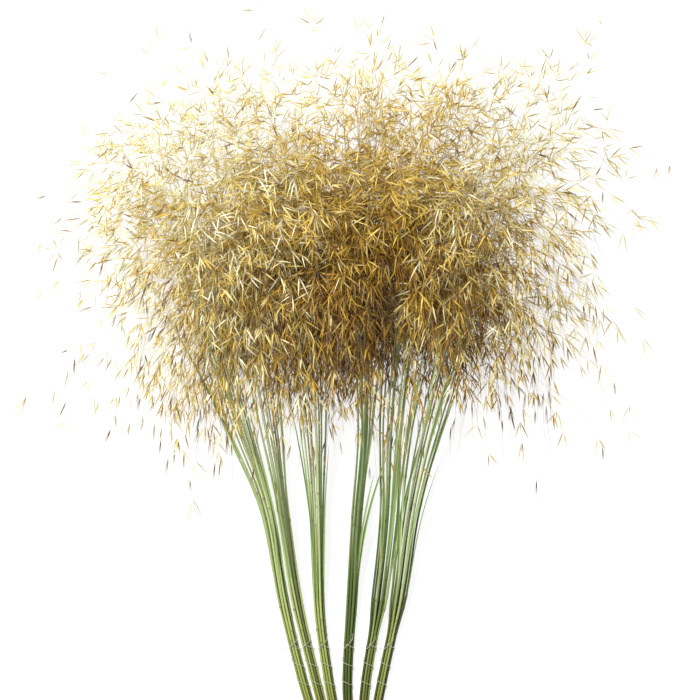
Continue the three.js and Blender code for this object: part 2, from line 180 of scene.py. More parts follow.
class Stem:
    """One stem: its middle line by y, where its head begins and ends, and its whorls' places"""

    def __init__(self, bunch, row, place, index):
        draw = draw_from(SEED + index)
        self.index = index
        self.row, self.place = row, place
        self.sideways = SCATTER * (2 * draw() - 1)
        self.upward = SCATTER * (2 * draw() - 1)
        self.foot = bunch["foot"] + FOOT_SCATTER * (2 * draw() - 1)
        self.tip = bunch["tip"] + TIP_SCATTER * (2 * draw() - 1)
        self.turn = 2 * pi * draw()
        step = (self.tip - NECK - self.foot) / len(WHORLS)
        self.whorls = [self.foot + step * (w + between(WHORL_PLACE, draw()))
                       for w in range(len(WHORLS))]
        self.spread = list(zip(SPREAD_STATIONS, bunch["x"]))
        self.opening = list(zip(OPENING_STATIONS, bunch["opening"]))
        self.ripeness = bunch["ripeness"]
        self.blueness = bunch["blueness"]
        self.draw = draw

    def at(self, y):
        scatter = smooth(SCATTER_RAMP, y)
        aside = (self.place + self.sideways * scatter) * CULM_PITCH * smooth(self.opening, y)
        above = (self.row + self.upward * scatter) * ROW_PITCH * smooth(FANNING, y)
        underside = smooth(STEM_RADII, y) * cos(UNDERSIDE_ANGLE)
        return Vector((smooth(self.spread, y) + aside, y, underside + smooth(RISING, y) + above))

    def along(self, y):
        return (self.at(y + SLOPE_REACH) - self.at(y - SLOPE_REACH)).normalized()


def mesh_with(name, places, edges, values):
    """Points and edges with attributes: a number a point, or three where it is a direction"""
    mesh = bpy.data.meshes.new(name)
    mesh.from_pydata(places, edges, [])
    for key, row in values.items():
        kind, field = ("FLOAT", "value") if len(row) == len(places) else ("FLOAT_VECTOR", "vector")
        mesh.attributes.new(key, kind, "POINT").data.foreach_set(field, row)
    return mesh


def mesh_of_lines(name, lines):
    """A line is its points, in millimetres, and for each attribute a list of one value a point."""
    places, edges = [], []
    values = {key: [] for key in lines[0][1]}
    for points, marks in lines:
        first = len(places)
        places.extend((point - MIDDLE) * MM for point in points)
        edges.extend((first + i, first + i + 1) for i in range(len(points) - 1))
        for key, row in marks.items():
            values[key].extend(row)
    return mesh_with(name, places, edges, values)


def start_tree(name, sizes):
    """A geometry tree with a named input for each size, whole or not, and one for the finish"""
    tree = bpy.data.node_groups.new(name, "GeometryNodeTree")
    for way in ("INPUT", "OUTPUT"):
        tree.interface.new_socket("Geometry", in_out=way, socket_type="NodeSocketGeometry")
    for label, value in sizes.items():
        kind = "NodeSocketInt" if isinstance(value, int) else "NodeSocketFloat"
        socket = tree.interface.new_socket(label, in_out="INPUT", socket_type=kind)
        socket.default_value = value
    tree.interface.new_socket("Finish", in_out="INPUT", socket_type="NodeSocketMaterial")
    return tree, tree.nodes.new("NodeGroupInput").outputs


def put(tree, kind, feeds=None, **settings):
    """Adds a node, sets its properties, and feeds its inputs with nodes, sockets or values"""
    node = tree.nodes.new(kind)
    for key, value in settings.items():
        setattr(node, key, value)
    for key, value in (feeds or {}).items():
        if isinstance(value, bpy.types.Node):
            value = value.outputs[0]
        if isinstance(value, bpy.types.NodeSocket):
            tree.links.new(value, node.inputs[key])
        else:
            node.inputs[key].default_value = value
    return node


def maths(tree, operation, *values):
    return put(tree, "ShaderNodeMath", dict(enumerate(values)), operation=operation)


def end_tree(tree, geometry, finish, rounded):
    """Shades what a tree has made round or flat, realizes it and gives it its material"""
    shaded = put(tree, "GeometryNodeSetShadeSmooth", {
        "Geometry": geometry, "Shade Smooth": rounded})
    realized = put(tree, "GeometryNodeRealizeInstances", {"Geometry": shaded})
    painted = put(tree, "GeometryNodeSetMaterial", {"Geometry": realized, "Material": finish})
    put(tree, "NodeGroupOutput", {"Geometry": painted})
    return tree


def attribute(tree, name, kind="FLOAT"):
    node = put(tree, "GeometryNodeInputNamedAttribute", {"Name": name}, data_type=kind)
    return node.outputs["Attribute"]


def sweep_tree():
    """Round bars along lines, as thick at each point as its girth says"""
    tree, inputs = start_tree("bars along lines", {"Sides": CULM_SIDES})
    line = put(tree, "GeometryNodeMeshToCurve", {"Mesh": inputs["Geometry"]})
    ring = put(tree, "GeometryNodeCurvePrimitiveCircle",
               {"Resolution": inputs["Sides"], "Radius": 1.0}, mode="RADIUS")
    bars = put(tree, "GeometryNodeCurveToMesh", {
        "Curve": line, "Profile Curve": ring, "Scale": attribute(tree, "girth"),
        "Fill Caps": True})
    return end_tree(tree, bars, inputs["Finish"], rounded=True)


def grow(name, mesh, tree, **inputs):
    """Runs a tree on a mesh and gives the result back as an object with a plain mesh"""
    piece = add_object(name, mesh)
    modifier = piece.modifiers.new(tree.name, "NODES")
    modifier.node_group = tree
    for item in tree.interface.items_tree:
        if item.in_out == "INPUT" and item.name in inputs:
            modifier[item.identifier] = inputs[item.name]
    graph = bpy.context.evaluated_depsgraph_get()
    grown = bpy.data.meshes.new_from_object(
        piece.evaluated_get(graph), preserve_all_data_layers=True, depsgraph=graph)
    piece.modifiers.remove(modifier)
    piece.data = grown
    bpy.data.meshes.remove(mesh)
    grown.name = name
    return piece


def paint(red, green, blue):
    """A colour as the eye grades it, 0 to 255, as the light values that a shader takes"""
    def light(level):
        level /= 255
        return level / 12.92 if level <= 0.04045 else ((level + 0.055) / 1.055) ** 2.4
    return (light(red), light(green), light(blue), 1)


def start_material(name):
    material = bpy.data.materials.new(name)
    material.use_nodes = True
    material.node_tree.nodes.clear()
    return material, material.node_tree


def finished(material, surface):
    """Gives a material the Principled shader with these inputs as its surface"""
    shader = put(material.node_tree, "ShaderNodeBsdfPrincipled", surface)
    put(material.node_tree, "ShaderNodeOutputMaterial", {"Surface": shader})
    return material


def value_of(tree, name):
    return put(tree, "ShaderNodeAttribute", attribute_name=name).outputs["Fac"]


def colour_ramp(tree, factor, stops):
    ramp = put(tree, "ShaderNodeValToRGB", {"Fac": factor})
    points = ramp.color_ramp.elements
    points[0].position, points[0].color = stops[0][0], paint(*stops[0][1])
    points[1].position, points[1].color = stops[-1][0], paint(*stops[-1][1])
    for place, colour in stops[1:-1]:
        points.new(place).color = paint(*colour)
    return ramp.outputs["Color"]


def mixed_colour(tree, factor, first, second, blend="MIX"):
    node = put(tree, "ShaderNodeMix", {0: factor, 6: first, 7: second}, data_type="RGBA",
               blend_type=blend)
    return node.outputs[2]


def grained(tree, colour, grain, dark, strength):
    """A colour darkened by a grain: most where the grain is 0, and not at all where it is 1"""
    shade = mixed_colour(tree, grain, paint(*dark), paint(255, 255, 255))
    return mixed_colour(tree, strength, colour, shade, "MULTIPLY")


def straw_grain_group():
    """Fine streaks along the bundle: a level from 0 to 1, and a normal raised by it"""
    tree = bpy.data.node_groups.new("straw grain", "ShaderNodeTree")
    for label, value in [("Fineness", 700.0), ("Length", 14.0), ("Relief", 0.2)]:
        socket = tree.interface.new_socket(label, in_out="INPUT", socket_type="NodeSocketFloat")
        socket.default_value = value
    tree.interface.new_socket("Streaks", in_out="OUTPUT", socket_type="NodeSocketFloat")
    tree.interface.new_socket("Normal", in_out="OUTPUT", socket_type="NodeSocketVector")
    inputs = tree.nodes.new("NodeGroupInput").outputs
    place = put(tree, "ShaderNodeTexCoord").outputs["Object"]
    stretch = put(tree, "ShaderNodeCombineXYZ", {
        "X": inputs["Fineness"], "Y": inputs["Length"], "Z": inputs["Fineness"]})
    stretched = put(tree, "ShaderNodeVectorMath", {0: place, 1: stretch}, operation="MULTIPLY")
    noise = put(tree, "ShaderNodeTexNoise", {
        "Vector": stretched, "Scale": 1.0, "Detail": 2.0, "Roughness": 0.6})
    bump = put(tree, "ShaderNodeBump", {
        "Strength": inputs["Relief"], "Distance": 0.0004, "Height": noise})
    put(tree, "NodeGroupOutput", {"Streaks": noise, "Normal": bump})
    return tree


def streaks(tree, fineness, length, relief):
    """The streaks and the raised normal of the straw grain, with one material's own values"""
    node = put(tree, "ShaderNodeGroup", {
        "Fineness": fineness, "Length": length, "Relief": relief}, node_tree=STRAW_GRAIN)
    return node.outputs["Streaks"], node.outputs["Normal"]


def make_culm_finish():
    """Fresh green, olive at the pale cut ends and paler under the heads, with dark joints"""
    material, tree = start_material("green culm")
    grain, normal = streaks(tree, fineness=900.0, length=9.0, relief=0.35)
    rise = value_of(tree, "rise")
    yellow = colour_ramp(tree, rise, [
        (0.0, (162, 150, 84)), (0.14, (168, 180, 88)), (0.45, (204, 217, 138)),
        (0.75, (223, 233, 172)), (1.0, (226, 229, 174))])
    blue = colour_ramp(tree, rise, [
        (0.0, (100, 104, 46)), (0.14, (72, 94, 32)), (0.45, (86, 117, 48)),
        (0.75, (114, 149, 80)), (1.0, (144, 169, 108))])
    green = mixed_colour(tree, value_of(tree, "tint"), yellow, blue)
    dusky = mixed_colour(tree, value_of(tree, "duskiness"), green, paint(70, 58, 50))
    lined = grained(tree, dusky, grain, (178, 180, 168), strength=0.75)
    joint = maths(tree, "MULTIPLY", value_of(tree, "joint"), JOINT_STRENGTH)
    jointed = mixed_colour(tree, joint, lined, paint(104, 92, 52))
    face = put(tree, "ShaderNodeNewGeometry").outputs["True Normal"]
    backward = put(tree, "ShaderNodeVectorMath", {0: face, 1: (0, -1, 0)},
                   operation="DOT_PRODUCT")
    is_cut = maths(tree, "GREATER_THAN", backward.outputs["Value"], CUT_FACING)
    cut = mixed_colour(tree, is_cut, jointed, paint(222, 216, 176))
    return finished(material, {"Base Color": cut, "Roughness": 0.36, "Normal": normal})


def joints_of(stem):
    draw = draw_from(SEED + JOINT_SEEDS + stem.index)
    return [between(ends, draw()) for ends in JOINT_PLACES]


def culm_line(stem):
    """The middle line of a bare stem with its thickness, closer where a joint swells it"""
    draw = draw_from(SEED + CULM_SEEDS + stem.index)
    joints = joints_of(stem)
    stations = {0, stem.foot + CULM_OVERLAP}
    stations.update(range(CULM_STEP, int(stem.foot), CULM_STEP))
    for joint in joints:
        below, above = [joint + offset for offset in JOINT_CLEARANCE]
        stations = {y for y in stations if not below < y < above}
        stations.update(joint + offset for offset, _ in JOINT_SWELL)
        stations.update(joint + offset for offset in SHEATH_STATIONS)
    stations = sorted(stations)
    swell = [sum(smooth(JOINT_SWELL, y - joint) for joint in joints) for y in stations]
    girths = [smooth(STEM_RADII, y) * (1 + extra) * MM for y, extra in zip(stations, swell)]
    duskiness = DARK_CULM if draw() < DARK_CULM_SHARE else DUSKIEST * draw() ** 3
    tint = between(BLUE_TINTS if draw() < stem.blueness else YELLOW_TINTS, draw())
    return [stem.at(y) for y in stations], {
        "girth": girths,
        "rise": [y / stem.foot for y in stations],
        "duskiness": [duskiness] * len(stations),
        "tint": [tint] * len(stations),
        "joint": [max(1 - min(abs(y - joint) for joint in joints) / JOINT_BAND, 0)
                  for y in stations],
    }


stems = {}
places = [(row, place) for row, line in enumerate(ROWS) for place in line]
for name, bunch in BUNCHES.items():
    first = len(places) * len(stems)
    stems[name] = [Stem(bunch, row, place, first + i) for i, (row, place) in enumerate(places)]


def stem_nodes(name):
    return [f"stem_{name}{i + 1}" for i in range(len(stems[name]))]


SWEEP = sweep_tree()
STRAW_GRAIN = straw_grain_group()
culm_finish = make_culm_finish()
for name, bunch in stems.items():
    lines = mesh_of_lines("culm lines", [culm_line(stem) for stem in bunch])
    culms = grow(f"culms_{name}", lines, SWEEP, Sides=CULM_SIDES, Finish=culm_finish)
    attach(culms, "root")
    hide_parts(*stem_nodes(name))

# Twine
# One thin off-white cord of two plies twisted together, wound two and a half times round each
# bunch near its cut ends and knotted on top, with two short loose ends.
TWINE_RADIUS = 0.6
TWINE_GAP = 0.45
TIE_START = 84
TIE_LEAD = 36
TIE_TURNS = 2.5
STEPS_PER_TURN = 12
PLY_RADIUS = 0.36
PLY_SIDES = 5
TWIST_PITCH = 3.6
STEPS_PER_TWIST = 6
KNOT_SIZE = 0.55
KNOT_STEPS = 24
KNOT_LIFT = 0.9
LOOSE_ENDS = [
    [(1, 1, 0.6), (5, 4, 0.4), (9, 9, -2.4), (11, 15, -3.6), (11, 22, -3.2)],
    [(-1, -1, 0.6), (-4, -5, 0.5), (-9, -8, -2.2), (-13, -7, -5), (-16, -9, -8)],
]


def twine_tree():
    """Two round plies side by side, swept along a line that turns as it goes"""
    tree, inputs = start_tree("twisted twine", {
        "Ply radius": PLY_RADIUS * MM, "Ply sides": PLY_SIDES,
        "Twist pitch": TWIST_PITCH * MM, "Steps per twist": STEPS_PER_TWIST})
    line = put(tree, "GeometryNodeMeshToCurve", {"Mesh": inputs["Geometry"]})
    curved = put(tree, "GeometryNodeCurveSplineType", {"Curve": line},
                 spline_type="CATMULL_ROM")
    step = maths(tree, "DIVIDE", inputs["Twist pitch"], inputs["Steps per twist"])
    stepped = put(tree, "GeometryNodeResampleCurve", {"Curve": curved, "Length": step},
                  mode="LENGTH")
    length = put(tree, "GeometryNodeSplineParameter").outputs["Length"]
    twists = maths(tree, "DIVIDE", length, inputs["Twist pitch"])
    turn = maths(tree, "MULTIPLY", twists, 2 * pi)
    twisted = put(tree, "GeometryNodeSetCurveTilt", {"Curve": stepped, "Tilt": turn})
    ring = put(tree, "GeometryNodeCurvePrimitiveCircle", {
        "Resolution": inputs["Ply sides"], "Radius": inputs["Ply radius"]}, mode="RADIUS")
    back = maths(tree, "MULTIPLY", inputs["Ply radius"], -1.0)
    plies = put(tree, "GeometryNodeJoinGeometry")
    for side in (inputs["Ply radius"], back):
        place = put(tree, "ShaderNodeCombineXYZ", {"X": side})
        ply = put(tree, "GeometryNodeTransform", {"Geometry": ring, "Translation": place})
        tree.links.new(ply.outputs[0], plies.inputs[0])
    cord = put(tree, "GeometryNodeCurveToMesh", {
        "Curve": twisted, "Profile Curve": plies, "Fill Caps": True})
    return end_tree(tree, cord, inputs["Finish"], rounded=True)


def twine_line(members):
    """The twine's route: the culm that lies furthest out on each side carries it there."""
    points = []
    for k in range(round(TIE_TURNS * STEPS_PER_TURN) + 1):
        y = TIE_START + TIE_LEAD * k / STEPS_PER_TURN
        angle = 2 * pi * (k + 0.5) / STEPS_PER_TURN
        out = Vector((sin(angle), 0, -cos(angle)))
        outermost = max((stem.at(y) for stem in members), key=lambda centre: centre.dot(out))
        room = smooth(STEM_RADII, y) + TWINE_GAP + TWINE_RADIUS
        points.append(outermost + out * (room / cos(pi / STEPS_PER_TURN)))
    return points


def knot_lines(place):
    """A small trefoil knot where the twine ends, and the two loose ends that leave it"""
    centre = place + Vector((0, 0, KNOT_LIFT))
    knot = []
    for k in range(KNOT_STEPS + 1):
        t = 2 * pi * k / KNOT_STEPS
        turn = Vector((sin(t) + 2 * sin(2 * t), cos(t) - 2 * cos(2 * t), -sin(3 * t)))
        knot.append(centre + turn * KNOT_SIZE)
    return [knot] + [[centre + Vector(step) for step in route] for route in LOOSE_ENDS]


def make_twine_finish():
    """Dull off-white fibre, darker in fine specks and in wide patches"""
    material, tree = start_material("twine fibre")
    place = put(tree, "ShaderNodeTexCoord").outputs["Object"]
    fibres = put(tree, "ShaderNodeTexNoise", {"Vector": place, "Scale": 2600.0, "Detail": 3.0})
    patches = put(tree, "ShaderNodeTexNoise", {"Vector": place, "Scale": 90.0, "Detail": 1.0})
    fibre = colour_ramp(tree, fibres, [(0.3, (176, 168, 142)), (0.7, (238, 234, 218))])
    colour = grained(tree, fibre, patches, (205, 198, 176), strength=0.6)
    bump = put(tree, "ShaderNodeBump", {"Strength": 0.6, "Distance": 0.0002, "Height": fibres})
    return finished(material, {
        "Base Color": colour, "Roughness": 0.9, "Normal": bump, "Sheen Weight": 0.3})


TWISTED = twine_tree()
twine_finish = make_twine_finish()
for name, bunch in stems.items():
    spiral = twine_line(bunch)
    routes = mesh_of_lines("twine lines", [
        (line, {}) for line in [spiral] + knot_lines(spiral[-1])])
    twine = grow(f"twine_strand_{name}", routes, TWISTED, Finish=twine_finish)
    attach(twine, "root")
    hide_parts(f"twine_{name}")

# Leaves
# Long narrow blades, green and folded along the middle. They leave the culms above a joint and
# lie beside them or across them, some as far as the heads.
LEAF_SEEDS = 3000
LEAF_SHARE = {"A": 0.55, "B": 0.5, "C": 0.35, "D": 0.4, "E": 0.9, "F": 0.8}
LEAF_WIDTH = [1.6, 5.8]
LEAF_TAPER = [[0, 0.5], [0.15, 0.9], [0.35, 1], [0.75, 0.7], [1, 0.08]]
LEAF_LENGTH = [230, 420]
LEAF_START = 68
LEAF_STEPS = 12
LEAF_SPREAD = [6, 46]
LEAF_RISE = [4, 26]
LEAF_AT_CULM = [0.6, 0.8]
LEAF_CURVE = [1.7, 1.4]
CROSSING_SHARE = 0.45
CROSSING_RISE = [16, 30]
LEAF_FOLD = 0.35
LEAF_THICKNESS = 0.08


def folded_section(tree, fold, thickness):
    """A blade's section, one wide and folded, with a margin value of 1 at its two edges"""
    inner = maths(tree, "SUBTRACT", fold, thickness)
    section = put(tree, "GeometryNodeCurvePrimitiveQuadrilateral", {
        "Width": 1.0, "Bottom Height": 0.0, "Top Height": fold}, mode="KITE")
    corner = put(tree, "GeometryNodeSplineParameter").outputs["Index"]
    is_inner = put(tree, "FunctionNodeCompare", {"A": corner, "B": 0}, data_type="INT",
                   operation="EQUAL")
    raised = put(tree, "ShaderNodeCombineXYZ", {"Y": inner})
    folded = put(tree, "GeometryNodeSetPosition", {
        "Geometry": section, "Selection": is_inner, "Offset": raised})
    odd = maths(tree, "MODULO", corner, 2.0)
    return put(tree, "GeometryNodeStoreNamedAttribute", {
        "Geometry": folded, "Name": "margin", "Value": odd}, data_type="FLOAT")


def leaf_tree():
    """Folded blades along lines, level across, each as wide at a point as its girth says"""
    tree, inputs = start_tree("leaf blades", {
        "Fold": LEAF_FOLD, "Thickness": LEAF_THICKNESS})
    line = put(tree, "GeometryNodeMeshToCurve", {"Mesh": inputs["Geometry"]})
    level = put(tree, "GeometryNodeSetCurveNormal", {"Curve": line}, mode="Z_UP")
    blades = put(tree, "GeometryNodeCurveToMesh", {
        "Curve": level,
        "Profile Curve": folded_section(tree, inputs["Fold"], inputs["Thickness"]),
        "Scale": attribute(tree, "girth"), "Fill Caps": True})
    return end_tree(tree, blades, inputs["Finish"], rounded=False)


def leaf_line(stem, joint, draw):
    """A blade's middle line: it follows its culm at first, then spreads and rises from it."""
    start = joint + LEAF_START
    length = between(LEAF_LENGTH, draw())
    hand = 1 if stem.place > 0 else -1
    crosses = stem.row == len(ROWS) - 1 and draw() < CROSSING_SHARE
    hand = -hand if crosses else hand
    spread = between(LEAF_SPREAD, draw() ** 2)
    rise = between(CROSSING_RISE if crosses else LEAF_RISE, draw())
    width = between(LEAF_WIDTH, draw())
    shares = [i / LEAF_STEPS for i in range(LEAF_STEPS + 1)]
    points = []
    for share in shares:
        y = start + length * share
        girth = smooth(STEM_RADII, y)
        away = LEAF_AT_CULM[0] * girth + spread * share ** LEAF_CURVE[0]
        above = LEAF_AT_CULM[1] * girth + rise * share ** LEAF_CURVE[1]
        points.append(stem.at(y) + Vector((hand * away, 0, above)))
    tint = draw()
    return points, {
        "girth": [width * smooth(LEAF_TAPER, share) * MM for share in shares],
        "rise": shares,
        "tint": [tint] * len(shares),
    }


def graded(tree, value, ends, results):
    """A value that goes from one end to the other, turned into one between the two results"""
    return put(tree, "ShaderNodeMapRange", {
        "Value": value, "From Min": ends[0], "From Max": ends[1],
        "To Min": results[0], "To Max": results[1]})


def make_leaf_finish():
    """Fresh green with pale edges and fine ribs, straw-coloured towards the tip"""
    material, tree = start_material("green leaf")
    grain, normal = streaks(tree, fineness=1600.0, length=6.0, relief=0.3)
    fresh = mixed_colour(tree, value_of(tree, "tint"), paint(194, 214, 146), paint(122, 154, 86))
    dry = colour_ramp(tree, value_of(tree, "rise"), [
        (0.0, (0, 0, 0)), (0.75, (60, 60, 60)), (1.0, (225, 225, 225))])
    aged = mixed_colour(tree, dry, fresh, paint(200, 180, 104))
    edge = graded(tree, value_of(tree, "margin"), ends=(0.75, 1.0), results=(0.0, 0.35))
    edged = mixed_colour(tree, edge, aged, paint(206, 220, 160))
    colour = grained(tree, edged, grain, (190, 196, 180), strength=0.8)
    return finished(material, {"Base Color": colour, "Roughness": 0.5, "Normal": normal})


BLADES = leaf_tree()
leaf_finish = make_leaf_finish()
for name, bunch in stems.items():
    leaves = []
    for stem in bunch:
        draw = draw_from(SEED + LEAF_SEEDS + stem.index)
        for joint in joints_of(stem):
            if stem.row > 0 and draw() < LEAF_SHARE[name]:
                leaves.append(leaf_line(stem, joint, draw))
    blades = grow(f"leaves_{name}", mesh_of_lines("leaf lines", leaves), BLADES,
                  Finish=leaf_finish)
    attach(blades, "root")
    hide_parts(*stem_nodes(name))

# Stalks
# The thin rachis of each head, the branches that leave it in whorls and arch over, and the fine
# twigs on those: dry straw, purple-brown where they are finest.
UP = Vector((0, 0, 1))
BRANCH_SEEDS = 1000
SEEDS_PER_STEM = 100
BRANCH_STEPS = 8
LONG_BRANCH = 190
SHORT_BRANCH = 60
LENGTH_FALL = 0.7
DROOP_FALL = 1.5
VARIETY = [0.7, 1.3]
STRAY_SHARE = 0.08
STRAY_LENGTH = 1.5
GOLDEN_TURN = pi * (3 - sqrt(5))
TURN_SCATTER = 0.6
LEAVE_ANGLE = [22, 44]
DROOP = [0.5, 3.6]
HEAD_FLATTENING = 0.65
PRESSED_DEPTH = 30
GLUME_LENGTH = [NECK, 33]
GLUME_OPENING = [10, 26]
LYING_CLEARANCE = 1

RACHIS_RISE = [-1, 0]
RACHIS_END = -0.001
RACHIS_GIRTHS = [[560, 1.75], [700, 1.3], [900, 0.75], [1300, 0.28]]
RACHIS_SIDES = 6
RACHIS_STEPS = 22
THIN_SIDES = 3
BRANCH_GIRTHS = [0.48, 0.2]
BRANCH_SHADES = 0.3
TWIG_GIRTHS = [0.2, 0.12]
TWIG_SPACING = 44
TWIG_SHADES = 0.25
TWIG_DARKER = 0.15
TWIG_PLACES = [0.1, 0.9]
TWIG_TURN_SCATTER = 0.5
TWIG_ANGLE = [20, 75]
TWIG_LENGTH = [16, 92]
TWIG_SHORTNESS = 1.5
TWIG_SAG = 0.6
LONG_TWIG_SHARE = [[200, 0.05], [330, 0.14], [420, 0.3], [470, 0.6]]
LONG_TWIG = 2.2
FRINGE_LENGTHENING = [[560, 2.2], [800, 1.4], [950, 1]]
TWIG_STEPS = 3
TWIG_GLUME_LENGTH = [30, 45]
TWIG_ROLL = radians(52)
HEAD_MIDDLE = Vector((8, 925, 0))
HEAD_HALF = Vector((550, 385, 0))
FULLNESS = [[0.4, 1], [0.62, 0.58], [0.75, 0.62], [0.95, 0.85], [1.3, 0.7]]
# A patch is its middle, its reach and the share of twigs that it keeps. Over the culms that
# show, the twigs above a height are thinned out as well.
PATCHES = [
    ((-430, 700), (180, 180), 0.05),
    ((450, 670), (110, 90), 0.15),
    ((340, 690), (80, 50), 0.6),
    ((-150, 680), (60, 80), 0.6),
    ((-10, 1275), (290, 130), 0.42),
    ((-380, 1200), (110, 90), 0.12),
    ((-320, 1090), (70, 70), 0.75),
    ((350, 1190), (80, 80), 0.4),
    ((190, 1190), (60, 60), 1.7),
    ((-220, 1190), (60, 60), 1.4),
    ((245, 1290), (70, 40), 0.4),
    ((90, 740), (110, 90), 1.3),
    ((-460, 1030), (70, 110), 2),
    ((470, 870), (100, 120), 1.5),
    ((490, 1240), (90, 60), 1.5),
]
CULMS_SHOW = [
    (80, ((115, 740), (50, 90), 0.12)),
    (130, ((80, 860), (50, 120), 0.25)),
]
# Painted light: stalks and spikelets far out at the sides, at the lower fringe and far up the
# heads are painted paler, towards this pale straw.
PAINTED_LIGHT_STRAW = 0.12
PAINTED_LIGHT_FAR_OUT = [[250, 0], [420, 0.5], [560, 0.8]]
PAINTED_LIGHT_FRINGE = [[520, 0.6], [640, 0.4], [720, 0]]
PAINTED_LIGHT_FAR_UP = [[880, 0], [1100, 0.65], [1300, 0.85]]
PEDICEL_PLACES = [[0.2, 0.5], [0.5, 0.85]]
PEDICEL_SHARE = 0.62
PEDICEL_LENGTH = [7, 34]
PEDICEL_SHORTNESS = 2
HANGING = [[560, 2.6], [760, 1.5], [930, 0.85], [1080, 0.3], [1250, 0]]
HEADING_SCATTER = 0.75
HEADING_SAG = 0.8
OPEN_ANGLE = [6, 36]
CLOSED_ANGLE = [1.2, 3]
CLOSED_LENGTH = 0.85
CLOSED_SHARE = [[560, 0.62], [760, 0.4], [950, 0.14], [1250, 0.1]]
LYING_HEIGHT = 1.9
ROOM_PAST_CAD = Vector((30, 34, 8))


def square_to(vector, ahead):
    return (vector - ahead * vector.dot(ahead)).normalized()


def pressed(z):
    """Where a head would reach below the surface it lies on, it is pressed flat on it."""
    if z >= PRESSED_DEPTH:
        return z
    if z <= -PRESSED_DEPTH:
        return 0
    return (z + PRESSED_DEPTH) ** 2 / (4 * PRESSED_DEPTH)


def lifted(point):
    return Vector((point.x, point.y, max(point.z, LYING_HEIGHT)))


def fits_in_bundle(point):
    """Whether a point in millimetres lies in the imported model's box, or just past it"""
    lowest, highest = cad_box
    place = (point - MIDDLE) * MM
    room = ROOM_PAST_CAD * MM
    return all(lowest[i] - room[i] <= place[i] <= highest[i] + room[i] for i in range(3))


def rolled_side(heading, roll):
    level = UP.cross(heading).normalized()
    return level * cos(roll) + heading.cross(level) * sin(roll)


def settled(fork, heading, side, opening, glume):
    """How a spikelet points and opens: flat on the surface where it would reach below it"""
    fall = sin(opening) * abs(side.z) - cos(opening) * heading.z
    if fork.z - glume * fall < LYING_CLEARANCE:
        heading = heading.copy()
        heading.z = max(heading.z, (LYING_CLEARANCE - fork.z) / glume)
        heading.normalize()
        side = UP.cross(heading).normalized()
    return heading, side


def main_branch(stem, whorl, n):
    """Branch number n of a head: its middle line, its end spikelet and its source of draws"""
    draw = draw_from(SEED + BRANCH_SEEDS + stem.index * SEEDS_PER_STEM + n)
    y = stem.whorls[whorl]
    share = (y - stem.foot) / (stem.tip - stem.foot)
    root, along = stem.at(y), stem.along(y)
    turn = stem.turn + n * GOLDEN_TURN + TURN_SCATTER * (draw() - 0.5)
    down = -square_to(UP, along)
    outward = down * cos(turn) + along.cross(down) * sin(turn)
    stray = STRAY_LENGTH if draw() < STRAY_SHARE else 1
    reach = LONG_BRANCH * (1 - share) ** LENGTH_FALL + SHORT_BRANCH
    length = reach * between(VARIETY, draw()) * stray
    leave = radians(between(LEAVE_ANGLE, draw()))
    droop = between(DROOP, (1 - share) ** DROOP_FALL) * between(VARIETY, draw())
    points = [root]
    path = root.copy()
    for k in range(BRANCH_STEPS):
        s = (k + 0.5) / BRANCH_STEPS
        step = along * cos(leave) + outward * sin(leave)
        step.y -= droop * s * s
        path += step.normalized() * (length / BRANCH_STEPS)
        z = pressed(root.z + HEAD_FLATTENING * (path.z - root.z))
        points.append(Vector((path.x, path.y, z)))
    heading = (points[-1] - points[-2]).normalized()
    side = rolled_side(heading, pi * draw())
    opening = radians(between(GLUME_OPENING, draw()))
    glume = between(GLUME_LENGTH, draw())
    heading, side = settled(points[-1], heading, side, opening, glume)
    points = [root] + [lifted(point) for point in points[1:]]
    return {"points": points, "length": length, "draw": draw,
            "spikelet": (points[-1], heading, side, opening, glume)}


def point_on(points, share):
    """The point at a share of a line's steps, and the line's direction there"""
    place = share * (len(points) - 1)
    i = min(int(place), len(points) - 2)
    step = points[i + 1] - points[i]
    return points[i] + step * (place - i), step.normalized()


def painted_paler(ripeness, point, strength=1):
    """Painted light: straw all round the outside of the heads is painted paler, towards one pale
    gold.
    """
    share = max(smooth(PAINTED_LIGHT_FAR_UP, point.y), smooth(PAINTED_LIGHT_FRINGE, point.y),
                smooth(PAINTED_LIGHT_FAR_OUT, abs(point.x)))
    return between([ripeness, PAINTED_LIGHT_STRAW], share * strength)


def tapered(points, girths, ripeness):
    """A line with its thickness falling from one end to the other"""
    last = len(points) - 1
    return points, {
        "girth": [between(girths, i / last) * MM for i in range(last + 1)],
        # Painted light: points round the outside of the heads are painted paler.
        "ripeness": [painted_paler(ripeness, point) for point in points],
        "rise": [i / last for i in range(last + 1)],
    }


def any_direction(draw):
    height = 2 * draw() - 1
    turn = 2 * pi * draw()
    level = sqrt(1 - height * height)
    return Vector((level * cos(turn), level * sin(turn), height))


def hanging(y):
    """How strongly twigs and spikelets hang towards the cut ends: the lower ones do the most"""
    return Vector((0, -smooth(HANGING, y), 0))


def fullness(point):
    """The share of twigs that a place keeps: fewer far out, more or fewer in some patches"""
    x, y = point.x - HEAD_MIDDLE.x, point.y - HEAD_MIDDLE.y
    share = smooth(FULLNESS, sqrt((x / HEAD_HALF.x) ** 2 + (y / HEAD_HALF.y) ** 2))
    gaps = [patch for height, patch in CULMS_SHOW if point.z > height]
    for middle, reach, kept in PATCHES + gaps:
        x = (point.x - middle[0]) / reach[0]
        y = (point.y - middle[1]) / reach[1]
        share *= 1 - (1 - kept) * exp(-x * x - y * y)
    return share


def twig_line(start, ahead, length, steps):
    """A twig's middle line: it leaves in a direction and sags towards the cut ends"""
    points = [start]
    for k in range(steps):
        step = ahead + hanging(points[-1].y) * (TWIG_SAG * (k + 0.5) / steps)
        step = step.normalized() * (length / steps)
        points.append(lifted(points[-1] + step))
    return points


def turned_off(along, turn, leave):
    """The direction that leaves a line at an angle, on the side that the turn gives"""
    outward = rolled_side(along, turn)
    ahead = along * cos(leave) + outward * sin(leave)
    ahead.z *= HEAD_FLATTENING
    return ahead.normalized()


